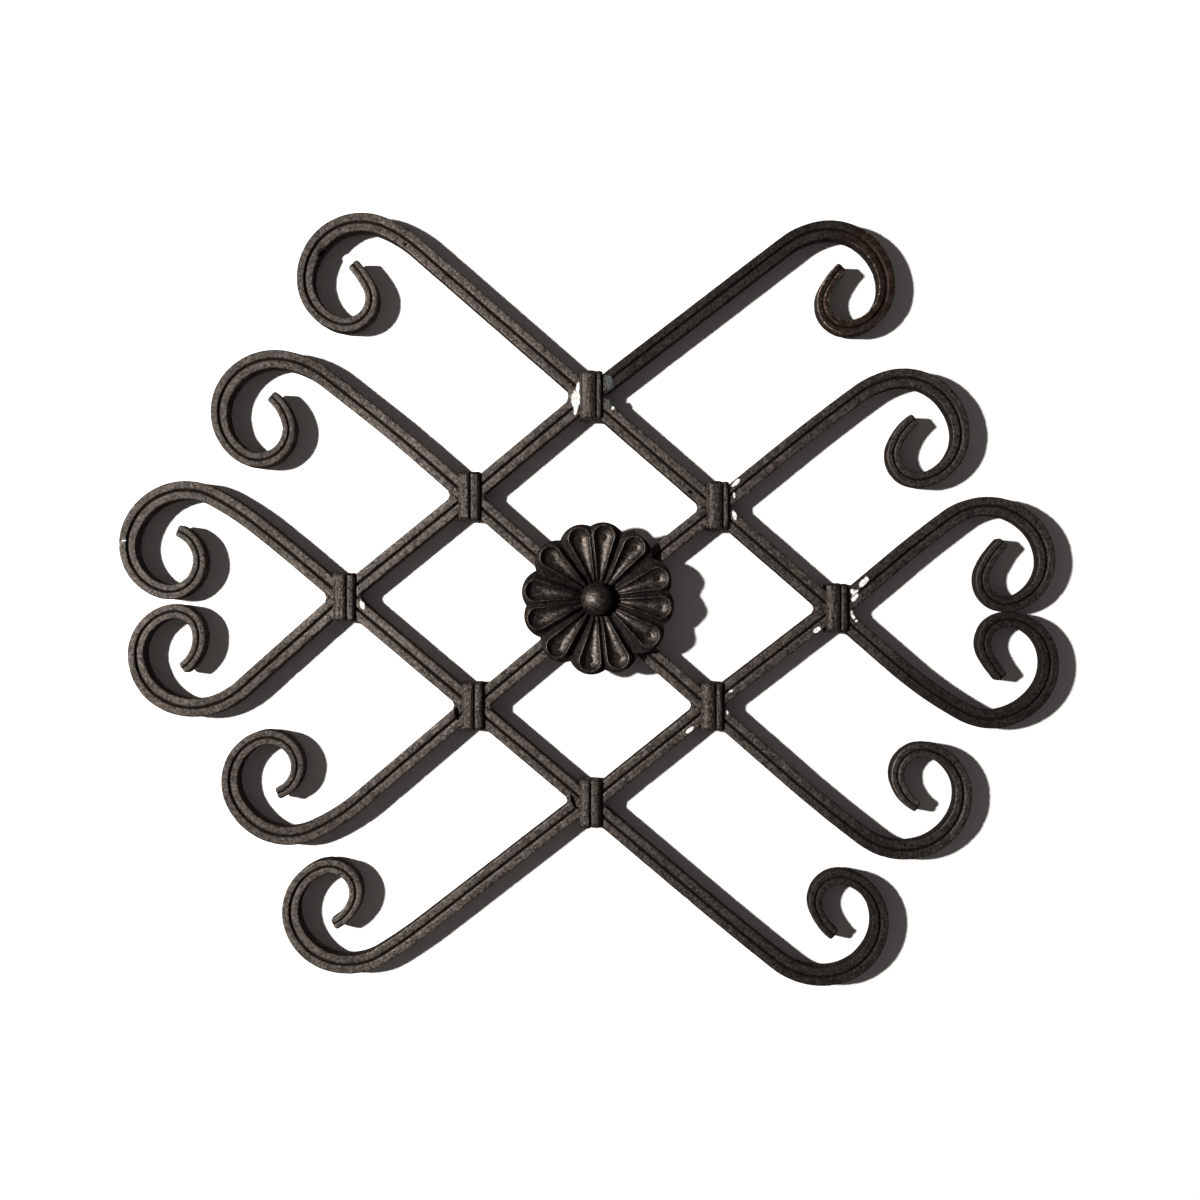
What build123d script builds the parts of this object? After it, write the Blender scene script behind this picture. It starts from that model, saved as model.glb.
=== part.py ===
from build123d import *
import math
import os

# Decorative steel panel: a flat diamond lattice of grooved square bar whose
# ends are bent into twelve scrolls, with ribbed collars over the eight outer
# crossings and a dished twelve petal rosette over the middle one.
# Millimetres. The panel lies on its back: X is its length, Y its height as it
# would hang, Z points out of its front face. Z = 0 is the plane it rests on.

os.makedirs("parts", exist_ok=True)

# ---------------------------------------------------------------- dimensions
# Bar stock
bar = 12.0  # square bar, across the flats
edge_radius = 0.9  # rolled edges of the bar
groove_width = 2.6  # V groove along the middle of the front face
groove_depth = 1.7
tip_width = 6.4  # width of the bar at the tip of a scroll
taper_length = 115.0  # the forged taper ends this far before the tip

# Collars: a ribbed strip wrapped round each crossing
collar_width = 14.7
collar_flange = 2.0  # thickness of the strip beside its rib
collar_wall = 1.7  # thickness where it turns down beside the bars
collar_inner = 28.6  # opening across the crossing
collar_corner = 2.6
rib_width = 8.1
rib_offset = -1.85  # along X, from the collar's middle
rib_height = 1.3
rib_side = 0.4  # what is left of the rib on the turned down sides
rib_round = 1.15
flange_round = 0.6

# Rosette
rosette_centre = (4.6, 0.8)
rosette_turn = 5.6  # the flower sits a little turned on the lattice
lobe_radius = 14.6
lobe_pitch_radius = 33.9
petal_angles = [-13, 13, 45, 77, 103, 135, 167, 193, 225, 257, 283, 315]
rim_height = 10.8  # of the rosette's rim above the bars' front face
spoon_start = 12.5  # where a petal's hollow starts, from the middle
spoon_end = 39.4  # centre of its round end
spoon_start_width, spoon_start_depth = 2.6, 0.7
spoon_end_width, spoon_end_depth = 13.2, 2.6
valley_start, valley_end = 17.0, 50.0  # the crease between two petals
pad_radius = 13.0  # flat pad at the rosette's back
pad_height = 1.6
rosette_hole = 8.0
floor_thickness = 2.6  # metal under the ball
ball_diameter = 22.0
ball_rise = 1.4  # its middle stands this far above the floor that it sits on

# Welds
weld_leg = 3.2  # along each side of a corner
weld_inset = 1.0  # a bead stops this far inside the bars' faces

# Heights
bar_back = collar_flange + rib_height  # the bars are carried by the collars
bar_mid = bar_back + bar / 2
bar_front = bar_back + bar
panel_shift = (1.23, -0.32)  # puts the middle of the whole panel at X = Y = 0

# Three through bars run from upper left to lower right. Each has a point on its
# centre line, its direction in degrees, how far its straight run reaches back
# and on from that point, and the bends (radius, angle) of the scroll at each
# end, out to the tip. A positive angle turns left.
through_bars = {
    "upper": (
        (39.77, 94.36), -41.00, 201.1, 206.9,
        [(77.2, 19.0), (35.3, 63.0), (38.0, 45.1), (29.6, 78.2), (16.7, 131.7), (59.8, 16.7)],
        [(257.7, 12.1), (33.1, 39.0), (42.1, 36.8), (33.0, 54.4), (27.3, 76.5), (15.6, 123.0), (113.3, 7.9)],
    ),
    "middle": (
        (-52.24, 43.42), -41.12, 75.7, 237.3,
        [(780.7, 2.7), (4703.8, 0.5), (59.5, 28.5), (36.0, 73.0), (32.5, 82.5), (19.5, 139.4), (32.1, 33.7)],
        [(852.1, 4.2), (43.2, 44.9), (38.3, 39.0), (34.6, 45.5), (28.7, 75.8), (16.3, 115.8), (25.5, 45.3)],
    ),
    "lower": (
        (-117.11, -33.23), -40.17, 90.0, 235.7,
        [(1225.0, 1.6), (192.8, 10.5), (37.5, 43.5), (37.8, 55.7), (30.4, 92.6), (18.5, 68.1), (20.7, 106.5)],
        [(2214.5, 1.9), (45.8, 47.6), (36.0, 42.7), (34.5, 39.6), (28.9, 73.9), (16.0, 121.9), (31.8, 34.7)],
    ),
}
# The cut pieces between them, each a little out of line as it was welded.
link_lines = {
    "link_top_to_upper_left": ((-38.81, 99.73), 39.86, "upper", "middle"),
    "link_upper_left_to_left": ((-118.24, 35.19), 39.08, "middle", "lower"),
    "link_upper_right_to_centre": ((55.57, 39.44), 38.44, "upper", "middle"),
    "link_centre_to_lower_left": ((-49.30, -47.25), 39.80, "middle", "lower"),
    "link_right_to_lower_right": ((117.51, -35.41), 37.60, "upper", "middle"),
    "link_lower_right_to_bottom": ((38.75, -98.49), 38.78, "middle", "lower"),
}
# The scrolled arms, cut off at a through bar: start point on the crossing,
# direction there, straight length, the bends out to the tip, and the bar.
arms = {
    "scroll_arm_top_right": ((-1.60, 130.23), 37.49, 158.9, [(51.6, -26.4), (36.5, -51.5), (37.1, -48.4), (26.4, -80.8), (16.4, -124.4), (49.0, -21.5)], "upper"),
    "scroll_arm_upper_right": ((80.00, 59.54), 39.00, 59.2, [(1136.1, -2.9), (60.2, -19.9), (36.6, -69.7), (39.0, -25.6), (29.6, -90.2), (16.3, -121.2), (38.8, -30.6)], "upper"),
    "scroll_arm_right_upper": ((156.80, -7.92), 40.10, 48.0, [(691.4, -4.0), (38.6, -44.0), (40.1, -37.2), (33.4, -39.8), (28.9, -79.1), (16.1, -129.9), (54.2, -21.8)], "upper"),
    "scroll_arm_left_lower": ((-158.47, 1.48), 221.78, 87.5, [(50.4, -26.0), (39.9, -46.0), (34.2, -56.0), (27.7, -81.0), (15.3, -93.0), (23.9, -63.6)], "lower"),
    "scroll_arm_lower_left": ((-76.18, -67.39), 220.40, 94.9, [(125.5, -16.8), (36.0, -48.7), (40.2, -41.7), (28.8, -89.6), (18.7, -88.3), (18.3, -94.4)], "lower"),
    "scroll_arm_bottom_left": ((-3.06, -128.91), 217.65, 129.3, [(328.0, -6.1), (41.0, -47.4), (35.9, -54.7), (29.7, -89.0), (16.8, -131.0), (25.9, -41.9)], "lower"),
}
# Collar centres
collars = {
    "collar_top": (0.2, 131.0),
    "collar_upper_left": (-77.6, 66.5),
    "collar_upper_right": (81.3, 60.2),
    "collar_left": (-157.8, 1.8),
    "collar_right": (157.6, -5.2),
    "collar_lower_left": (-75.4, -68.2),
    "collar_lower_right": (77.8, -68.3),
    "collar_bottom": (0.0, -130.5),
}
# Each crossing: its through bar, then the cut pieces on its lower left and
# upper right sides.
crossings = {
    "top": ("upper", "link_top_to_upper_left", "scroll_arm_top_right"),
    "upper_left": ("middle", "link_upper_left_to_left", "link_top_to_upper_left"),
    "left": ("lower", "scroll_arm_left_lower", "link_upper_left_to_left"),
    "upper_right": ("upper", "link_upper_right_to_centre", "scroll_arm_upper_right"),
    "centre": ("middle", "link_centre_to_lower_left", "link_upper_right_to_centre"),
    "lower_left": ("lower", "scroll_arm_lower_left", "link_centre_to_lower_left"),
    "right": ("upper", "link_right_to_lower_right", "scroll_arm_right_upper"),
    "lower_right": ("middle", "link_lower_right_to_bottom", "link_right_to_lower_right"),
    "bottom": ("lower", "scroll_arm_bottom_left", "link_lower_right_to_bottom"),
}


# ------------------------------------------------------------------- helpers
def shifted(point):
    return (point[0] + panel_shift[0], point[1] + panel_shift[1])


def unit(angle):
    return (math.cos(math.radians(angle)), math.sin(math.radians(angle)))


def cross_plane(point, angle):
    """Plane across a bar: local x to the bar's left, local y up, normal along it."""
    c, s = unit(angle)
    return Plane(origin=(point[0], point[1], bar_mid), x_dir=(-s, c, 0), z_dir=(c, s, 0))


def section(plane, width):
    """The bar's own section: square with rolled edges and a V groove in front."""
    g = groove_width * (0.6 + 0.4 * (width - tip_width) / (bar - tip_width))
    with BuildSketch(plane) as profile:
        Rectangle(width, bar)
        fillet(profile.vertices(), edge_radius)
        with BuildLine():
            Polyline((-g / 2, bar / 2), (0, bar / 2 - groove_depth), (g / 2, bar / 2), close=True)
        make_face(mode=Mode.SUBTRACT)
    return profile.sketch


def bend_points(point, angle, radius, turn):
    """Centre, middle and end of a bend that starts at point in direction angle."""
    side = 1 if turn > 0 else -1
    c, s = unit(angle + 90 * side)
    centre = (point[0] + radius * c, point[1] + radius * s)

    def at(t):
        cc, ss = unit(angle - 90 * side + t)
        return (centre[0] + radius * cc, centre[1] + radius * ss)

    return centre, at(turn / 2), at(turn)


def scroll(point, angle, bends):
    """Adds the bends of a scroll to the part being built, out to its tip."""
    lengths = [r * math.radians(abs(a)) for r, a in bends]
    left = sum(lengths)
    width = bar
    for (radius, turn), length in zip(bends, lengths):
        centre, middle, end = bend_points(point, angle, radius, turn)
        left -= length
        after = min(bar, tip_width + (bar - tip_width) * left / taper_length)
        profile = section(cross_plane(point, angle), width)
        if width == bar and after == bar:
            revolve(
                profile,
                axis=Axis((centre[0], centre[1], 0), (0, 0, 1 if turn > 0 else -1)),
                revolution_arc=abs(turn),
            )
        else:
            profile_after = section(cross_plane(end, angle + turn), after)
            with BuildLine() as path:
                ThreePointArc(
                    (point[0], point[1], bar_mid),
                    (middle[0], middle[1], bar_mid),
                    (end[0], end[1], bar_mid),
                )
            sweep([profile, profile_after], path=path.line, multisection=True)
        point, angle, width = end, angle + turn, after
    return point


def along(point, angle, distance):
    c, s = unit(angle)
    return (point[0] + distance * c, point[1] + distance * s)


def side_plane(line, toward):
    """Side face of a through bar, on the side of the given point, facing it."""
    point, angle = line_of(line)
    c, s = unit(angle)
    n = (-s, c)
    if (toward[0] - point[0]) * n[0] + (toward[1] - point[1]) * n[1] < 0:
        n = (-n[0], -n[1])
    return Plane(
        origin=(point[0] + n[0] * bar / 2, point[1] + n[1] * bar / 2, bar_mid),
        z_dir=(n[0], n[1], 0),
    )


def meet(line_a, line_b):
    """Where two centre lines, each (point, angle), cross."""
    (ax, ay), a = line_a
    (bx, by), b = line_b
    ca, sa = unit(a)
    cb, sb = unit(b)
    t = ((bx - ax) * sb - (by - ay) * cb) / (ca * sb - sa * cb)
    return (ax + t * ca, ay + t * sa)


def line_of(name):
    if name in through_bars:
        point, angle = through_bars[name][:2]
    elif name in link_lines:
        point, angle = link_lines[name][:2]
    else:
        point, angle = arms[name][:2]
    return shifted(point), angle


def finish(piece, name):
    piece.part.label = name
    export_step(piece.part, f"parts/{name}.step")
    box = piece.part.bounding_box()
    print(name, round(piece.part.volume), len(piece.part.solids()), piece.part.is_valid, box.min, box.max)


# -------------------------------------------------------------- through bars
with BuildPart() as through_bar_upper:
    point, angle, back, on, bends_back, bends_on = through_bars["upper"]
    start = along(shifted(point), angle, -back)
    extrude(section(cross_plane(start, angle), bar), amount=back + on)
    scroll(start, angle + 180, bends_back)
    scroll(along(start, angle, back + on), angle, bends_on)
finish(through_bar_upper, "through_bar_upper")

with BuildPart() as through_bar_middle:
    point, angle, back, on, bends_back, bends_on = through_bars["middle"]
    start = along(shifted(point), angle, -back)
    extrude(section(cross_plane(start, angle), bar), amount=back + on)
    scroll(start, angle + 180, bends_back)
    scroll(along(start, angle, back + on), angle, bends_on)
finish(through_bar_middle, "through_bar_middle")

with BuildPart() as through_bar_lower:
    point, angle, back, on, bends_back, bends_on = through_bars["lower"]
    start = along(shifted(point), angle, -back)
    extrude(section(cross_plane(start, angle), bar), amount=back + on)
    scroll(start, angle + 180, bends_back)
    scroll(along(start, angle, back + on), angle, bends_on)
finish(through_bar_lower, "through_bar_lower")

# -------------------------------------------------------------- scrolled arms
# Each arm is sawn off flush with the side of its through bar.
for name, (point, angle, run, bends, carrier) in arms.items():
    with BuildPart() as arm:
        start = shifted(point)
        extrude(section(cross_plane(start, angle), bar), amount=run)
        end = along(start, angle, run)
        scroll(end, angle, bends)
        split(bisect_by=side_plane(carrier, end), keep=Keep.TOP)
    finish(arm, name)

# ---------------------------------------------------------------------- links
# Short straight pieces, sawn at both ends to fit between two through bars.
for name, (point, angle, first, second) in link_lines.items():
    with BuildPart() as link:
        centre = shifted(point)
        start = along(centre, angle, -70)
        extrude(section(cross_plane(start, angle), bar), amount=140)
        split(bisect_by=side_plane(first, centre), keep=Keep.TOP)
        split(bisect_by=side_plane(second, centre), keep=Keep.TOP)
    finish(link, name)

# -------------------------------------------------------------------- collars
# A closed ribbed band. Its inside is bedded down on the bars that it wraps, so
# their edges bite into its turned down sides.
for name, (cx, cy) in collars.items():
    cx, cy = shifted((cx, cy))
    crossing = name.replace("collar_", "")
    with BuildPart() as collar:
        band = Plane(
            origin=(cx + rib_offset - rib_width / 2, cy, bar_mid), x_dir=(0, 1, 0), z_dir=(1, 0, 0)
        )
        with BuildSketch(band):
            RectangleRounded(
                collar_inner + 2 * (collar_wall + rib_side),
                bar + 2 * (collar_flange + rib_height),
                collar_corner + rib_side,
            )
        extrude(amount=rib_width)
        ends = collar.faces().sort_by(Axis.X)
        fillet(ends[0].edges() + ends[-1].edges(), rib_round)
        strip = Plane(origin=(cx - collar_width / 2, cy, bar_mid), x_dir=(0, 1, 0), z_dir=(1, 0, 0))
        with BuildSketch(strip):
            RectangleRounded(
                collar_inner + 2 * collar_wall, bar + 2 * collar_flange, collar_corner
            )
        extrude(amount=collar_width)
        ends = collar.faces().sort_by(Axis.X)
        fillet(ends[0].edges() + ends[-1].edges(), flange_round)
        with BuildSketch(strip):
            Rectangle(collar_inner, bar)
        extrude(amount=collar_width, mode=Mode.SUBTRACT)
        for wrapped in crossings[crossing]:
            (px, py), angle = line_of(wrapped)
            t = (cx - px) * unit(angle)[0] + (cy - py) * unit(angle)[1]
            x, y = along((px, py), angle, t)
            with Locations(Location((x, y, bar_mid), (0, 0, angle))):
                Box(60, bar, bar, mode=Mode.SUBTRACT)
    finish(collar, name)


# -------------------------------------------------------------------- rosette
def dish(radius):
    """Height of the dish's upper surface above the bars' front face."""
    (r1, z1), (r2, z2), (r3, z3) = dish_arc
    d = 2 * (r1 * (z2 - z3) + r2 * (z3 - z1) + r3 * (z1 - z2))
    a, b, c = r1 * r1 + z1 * z1, r2 * r2 + z2 * z2, r3 * r3 + z3 * z3
    rc = (a * (z2 - z3) + b * (z3 - z1) + c * (z1 - z2)) / d
    zc = (a * (r3 - r2) + b * (r1 - r3) + c * (r2 - r1)) / d
    return zc + math.sqrt((r1 - rc) ** 2 + (z1 - zc) ** 2 - (radius - rc) ** 2)


def cutter(angle, start, start_radius, start_lift, end, end_radius, end_lift):
    """A cone with a ball end lying outwards over the dish, to hollow a petal.
    Its axis is lifted above the dish, so that only its belly cuts."""
    x, y = shifted(rosette_centre)
    c, s = unit(angle)
    z0, z1 = dish(start) + start_lift, dish(min(end, 44.0)) + end_lift
    length = math.hypot(end - start, z1 - z0)
    up = (z1 - z0) / length
    out = (end - start) / length
    lie = Plane(
        origin=(x + start * c, y + start * s, bar_front + z0),
        x_dir=(out * c, out * s, up),
        z_dir=(s, -c, 0),
    )
    with BuildPart(mode=Mode.PRIVATE) as tool:
        with BuildSketch(lie) as outline:
            with BuildLine():
                Polyline((-start_radius, 0), (0, start_radius), (length, end_radius))
                ThreePointArc(
                    (length, end_radius),
                    (length + end_radius * math.sin(math.pi / 4), end_radius * math.cos(math.pi / 4)),
                    (length + end_radius, 0),
                )
                Line((length + end_radius, 0), (-start_radius, 0))
            make_face()
        revolve(outline.sketch, axis=Axis(lie.origin, lie.x_dir))
    return tool.part


def belly(width, depth):
    """Radius of a round tool that cuts a trough of this width and depth."""
    return (width**2 / 4 + depth**2) / (2 * depth)


dish_arc = [(11.5, floor_thickness), (26.0, 8.4), (46.0, rim_height)]
petals = sorted(rosette_turn + a for a in petal_angles)
with BuildPart() as rosette:
    x, y = shifted(rosette_centre)
    with BuildSketch(Plane(origin=(x, y, bar_front), x_dir=(1, 0, 0), z_dir=(0, -1, 0))):
        with BuildLine():
            Polyline((11.5, floor_thickness), (0, floor_thickness), (0, 0), (pad_radius, 0), (pad_radius, pad_height))
            ThreePointArc((pad_radius, pad_height), (28, 4.9), (49.5, 6.0))
            Polyline((49.5, 6.0), (49.5, 9.0))
            ThreePointArc((49.5, 9.0), (48.6, 10.3), (46.0, rim_height))
            ThreePointArc(dish_arc[2], dish_arc[1], dish_arc[0])
        make_face()
    revolve(axis=Axis((x, y, 0), (0, 0, 1)))
    with BuildSketch(Plane.XY.offset(bar_front)):
        spots = [
            (x + lobe_pitch_radius * unit(a)[0], y + lobe_pitch_radius * unit(a)[1]) for a in petals
        ]
        with Locations(*spots):
            Circle(lobe_radius)
        with Locations((x, y)):
            Circle(lobe_pitch_radius)
    extrude(amount=rim_height + 5, mode=Mode.INTERSECT)
    r0 = belly(spoon_start_width, spoon_start_depth)
    r1 = belly(spoon_end_width, spoon_end_depth)
    for a in petals:
        add(
            cutter(a, spoon_start, r0, r0 - spoon_start_depth, spoon_end, r1, r1 - spoon_end_depth),
            mode=Mode.SUBTRACT,
        )
    for a, b in zip(petals, petals[1:] + [petals[0] + 360]):
        add(
            cutter((a + b) / 2, valley_start, 0.5, 0.2, valley_end, 3.4, 1.4),
            mode=Mode.SUBTRACT,
        )
    with Locations((x, y, bar_front + rim_height / 2)):
        Cylinder(rosette_hole / 2, rim_height, mode=Mode.SUBTRACT)
finish(rosette, "rosette")

# A little over half a ball, flat where it sits, with a spigot in the hole.
with BuildPart() as rosette_ball:
    x, y = shifted(rosette_centre)
    seat = bar_front + floor_thickness
    with Locations((x, y, seat + ball_rise)):
        Sphere(ball_diameter / 2)
    split(bisect_by=Plane.XY.offset(seat), keep=Keep.TOP)
    with Locations((x, y, bar_front + floor_thickness / 2)):
        Cylinder(rosette_hole / 2, floor_thickness)
finish(rosette_ball, "rosette_ball")


# ---------------------------------------------------------------------- welds
def outward(name, side):
    """Direction in which a piece leaves a crossing, on side +1 or -1 of its own line."""
    angle = line_of(name)[1]
    if name in arms:
        return angle
    return angle if side > 0 else angle + 180


def offset_line(name, quadrant):
    """Side face of a bar as a line in plan, on the side of the quadrant's direction."""
    point, angle = line_of(name)
    c, s = unit(angle)
    n = (-s, c)
    if n[0] * quadrant[0] + n[1] * quadrant[1] < 0:
        n = (-n[0], -n[1])
    return (point[0] + n[0] * bar / 2, point[1] + n[1] * bar / 2), angle


with BuildPart() as crossing_welds:
    for crossing, (through, lower, upper) in crossings.items():
        corners = [((-1, 0), -1, lower, -1), ((1, 0), 1, upper, 1)]
        if crossing == "centre":
            corners += [((0, 1), -1, upper, 1), ((0, -1), 1, lower, -1)]
        for quadrant, through_side, piece, piece_side in corners:
            corner = meet(offset_line(through, quadrant), offset_line(piece, quadrant))
            one = along(corner, outward(through, through_side), weld_leg)
            two = along(corner, outward(piece, piece_side), weld_leg)
            middle = ((one[0] + two[0]) / 2, (one[1] + two[1]) / 2)
            hollow = (
                corner[0] + 0.72 * (middle[0] - corner[0]),
                corner[1] + 0.72 * (middle[1] - corner[1]),
            )
            with BuildSketch(Plane.XY.offset(bar_back + weld_inset)):
                with BuildLine():
                    Polyline(one, corner, two)
                    ThreePointArc(two, hollow, one)
                make_face()
            extrude(amount=bar - 2 * weld_inset)
finish(crossing_welds, "crossing_welds")

# Short beads round the rosette's pad, one on each bar that leaves it.
with BuildPart() as rosette_welds:
    x, y = shifted(rosette_centre)
    radius = pad_radius + 1
    for name, side in [
        ("middle", 1), ("middle", -1), ("link_upper_right_to_centre", 1), ("link_centre_to_lower_left", -1)
    ]:
        (px, py), angle = line_of(name)
        c, s = unit(angle)
        t = (x - px) * c + (y - py) * s
        fx, fy = px + t * c - x, py + t * s - y  # from the pad's middle to the bar's line
        reach = math.sqrt(radius**2 - fx**2 - fy**2)
        at = math.degrees(math.atan2(fy + side * s * reach, fx + side * c * reach))
        c, s = unit(at - 12)
        with BuildSketch(Plane(origin=(x, y, bar_front), x_dir=(c, s, 0), z_dir=(s, -c, 0))) as bead:
            with BuildLine():
                Polyline((pad_radius, 0), (pad_radius + 2.4, 0), (pad_radius, 1.5), close=True)
            make_face()
        revolve(axis=Axis((x, y, 0), (0, 0, 1)), revolution_arc=24)
finish(rosette_welds, "rosette_welds")
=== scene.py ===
import math

import bpy
import numpy as np
from mathutils import Matrix, Vector, noise


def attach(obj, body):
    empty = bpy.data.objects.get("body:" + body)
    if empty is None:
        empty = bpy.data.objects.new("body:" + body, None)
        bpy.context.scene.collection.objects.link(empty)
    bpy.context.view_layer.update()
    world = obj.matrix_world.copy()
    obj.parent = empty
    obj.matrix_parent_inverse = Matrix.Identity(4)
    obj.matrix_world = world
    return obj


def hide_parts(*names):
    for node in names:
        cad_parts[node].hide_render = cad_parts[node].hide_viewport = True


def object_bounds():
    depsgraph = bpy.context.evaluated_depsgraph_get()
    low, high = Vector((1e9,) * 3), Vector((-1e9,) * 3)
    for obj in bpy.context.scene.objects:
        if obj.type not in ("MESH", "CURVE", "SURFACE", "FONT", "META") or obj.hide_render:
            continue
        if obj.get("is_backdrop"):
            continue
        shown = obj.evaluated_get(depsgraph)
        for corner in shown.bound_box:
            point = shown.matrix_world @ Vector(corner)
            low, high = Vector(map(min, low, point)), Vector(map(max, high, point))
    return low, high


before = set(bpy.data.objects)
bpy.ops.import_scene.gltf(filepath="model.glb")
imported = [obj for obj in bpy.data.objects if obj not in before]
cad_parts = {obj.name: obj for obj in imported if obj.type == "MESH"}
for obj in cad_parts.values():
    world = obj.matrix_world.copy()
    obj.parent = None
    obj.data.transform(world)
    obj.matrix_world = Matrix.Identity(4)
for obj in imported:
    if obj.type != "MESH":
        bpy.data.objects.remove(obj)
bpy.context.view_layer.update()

# ------------------------------------------------------------------ dimensions
# Millimetres, in the row's frame. MM turns them into metres.
MM = 0.001
BAR = 12.0
EDGE = 0.9
TIP_WIDTH = 6.4
TAPER = 115.0
BACK, FRONT = 3.3, 15.3
MID = (BACK + FRONT) / 2
SHIFT = (1.23, -0.32)
ROSETTE = (4.6 + SHIFT[0], 0.8 + SHIFT[1])
STEP = 1.6

# Each through bar: a point on its line, its direction, how far it runs straight
# back and on from there, and the (radius, angle) bends of the scroll at each end.
THROUGH = {
    "through_bar_upper": ((39.77, 94.36), -41.00, 201.1, 206.9,
        [(77.2, 19.0), (35.3, 63.0), (38.0, 45.1), (29.6, 78.2), (16.7, 131.7), (59.8, 16.7)],
        [(257.7, 12.1), (33.1, 39.0), (42.1, 36.8), (33.0, 54.4), (27.3, 76.5), (15.6, 123.0), (113.3, 7.9)]),
    "through_bar_middle": ((-52.24, 43.42), -41.12, 75.7, 237.3,
        [(780.7, 2.7), (4703.8, 0.5), (59.5, 28.5), (36.0, 73.0), (32.5, 82.5), (19.5, 139.4), (32.1, 33.7)],
        [(852.1, 4.2), (43.2, 44.9), (38.3, 39.0), (34.6, 45.5), (28.7, 75.8), (16.3, 115.8), (25.5, 45.3)]),
    "through_bar_lower": ((-117.11, -33.23), -40.17, 90.0, 235.7,
        [(1225.0, 1.6), (192.8, 10.5), (37.5, 43.5), (37.8, 55.7), (30.4, 92.6), (18.5, 68.1), (20.7, 106.5)],
        [(2214.5, 1.9), (45.8, 47.6), (36.0, 42.7), (34.5, 39.6), (28.9, 73.9), (16.0, 121.9), (31.8, 34.7)]),
}
ARMS = {
    "scroll_arm_top_right": ((-1.60, 130.23), 37.49, 158.9, [(51.6, -26.4), (36.5, -51.5), (37.1, -48.4), (26.4, -80.8), (16.4, -124.4), (49.0, -21.5)], "through_bar_upper"),
    "scroll_arm_upper_right": ((80.00, 59.54), 39.00, 59.2, [(1136.1, -2.9), (60.2, -19.9), (36.6, -69.7), (39.0, -25.6), (29.6, -90.2), (16.3, -121.2), (38.8, -30.6)], "through_bar_upper"),
    "scroll_arm_right_upper": ((156.80, -7.92), 40.10, 48.0, [(691.4, -4.0), (38.6, -44.0), (40.1, -37.2), (33.4, -39.8), (28.9, -79.1), (16.1, -129.9), (54.2, -21.8)], "through_bar_upper"),
    "scroll_arm_left_lower": ((-158.47, 1.48), 221.78, 87.5, [(50.4, -26.0), (39.9, -46.0), (34.2, -56.0), (27.7, -81.0), (15.3, -93.0), (23.9, -63.6)], "through_bar_lower"),
    "scroll_arm_lower_left": ((-76.18, -67.39), 220.40, 94.9, [(125.5, -16.8), (36.0, -48.7), (40.2, -41.7), (28.8, -89.6), (18.7, -88.3), (18.3, -94.4)], "through_bar_lower"),
    "scroll_arm_bottom_left": ((-3.06, -128.91), 217.65, 129.3, [(328.0, -6.1), (41.0, -47.4), (35.9, -54.7), (29.7, -89.0), (16.8, -131.0), (25.9, -41.9)], "through_bar_lower"),
}
LINKS = {
    "link_top_to_upper_left": ((-38.81, 99.73), 39.86, "through_bar_upper", "through_bar_middle"),
    "link_upper_left_to_left": ((-118.24, 35.19), 39.08, "through_bar_middle", "through_bar_lower"),
    "link_upper_right_to_centre": ((55.57, 39.44), 38.44, "through_bar_upper", "through_bar_middle"),
    "link_centre_to_lower_left": ((-49.30, -47.25), 39.80, "through_bar_middle", "through_bar_lower"),
    "link_right_to_lower_right": ((117.51, -35.41), 37.60, "through_bar_upper", "through_bar_middle"),
    "link_lower_right_to_bottom": ((38.75, -98.49), 38.78, "through_bar_middle", "through_bar_lower"),
}
COLLARS = {
    "collar_top": (0.2, 131.0), "collar_upper_left": (-77.6, 66.5), "collar_upper_right": (81.3, 60.2),
    "collar_left": (-157.8, 1.8), "collar_right": (157.6, -5.2), "collar_lower_left": (-75.4, -68.2),
    "collar_lower_right": (77.8, -68.3), "collar_bottom": (0.0, -130.5),
}
CROSSINGS = {
    "top": ("through_bar_upper", "link_top_to_upper_left", "scroll_arm_top_right"),
    "upper_left": ("through_bar_middle", "link_upper_left_to_left", "link_top_to_upper_left"),
    "left": ("through_bar_lower", "scroll_arm_left_lower", "link_upper_left_to_left"),
    "upper_right": ("through_bar_upper", "link_upper_right_to_centre", "scroll_arm_upper_right"),
    "centre": ("through_bar_middle", "link_centre_to_lower_left", "link_upper_right_to_centre"),
    "lower_left": ("through_bar_lower", "scroll_arm_lower_left", "link_centre_to_lower_left"),
    "right": ("through_bar_upper", "link_right_to_lower_right", "scroll_arm_right_upper"),
    "lower_right": ("through_bar_middle", "link_lower_right_to_bottom", "link_right_to_lower_right"),
    "bottom": ("through_bar_lower", "scroll_arm_bottom_left", "link_lower_right_to_bottom"),
}


def place(px, py):
    """Millimetres on the bars' front faces for a point of the 1200 pixel photograph."""
    return ((px - 590.8) * 0.64 + 1.23, -(py - 599.8) * 0.64 - 0.32)


# -------------------------------------------------------------------- shaders
def link(nt, a, b):
    nt.links.new(a, b)


def noise_node(nt, coord, scale, detail=4.0, rough=0.55, stretch=None, distortion=0.0):
    n = nt.nodes.new("ShaderNodeTexNoise")
    n.inputs["Scale"].default_value = scale
    n.inputs["Detail"].default_value = detail
    n.inputs["Roughness"].default_value = rough
    n.inputs["Distortion"].default_value = distortion
    if stretch:
        m = nt.nodes.new("ShaderNodeMapping")
        m.inputs["Scale"].default_value = stretch
        link(nt, coord, m.inputs["Vector"])
        coord = m.outputs["Vector"]
    link(nt, coord, n.inputs["Vector"])
    return n.outputs["Fac"]


def math_node(nt, op, a, b=None, clamp=False):
    n = nt.nodes.new("ShaderNodeMath")
    n.operation = op
    n.use_clamp = clamp
    for i, v in enumerate((a, b)):
        if v is None:
            continue
        if isinstance(v, (int, float)):
            n.inputs[i].default_value = v
        else:
            link(nt, v, n.inputs[i])
    return n.outputs[0]


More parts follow.
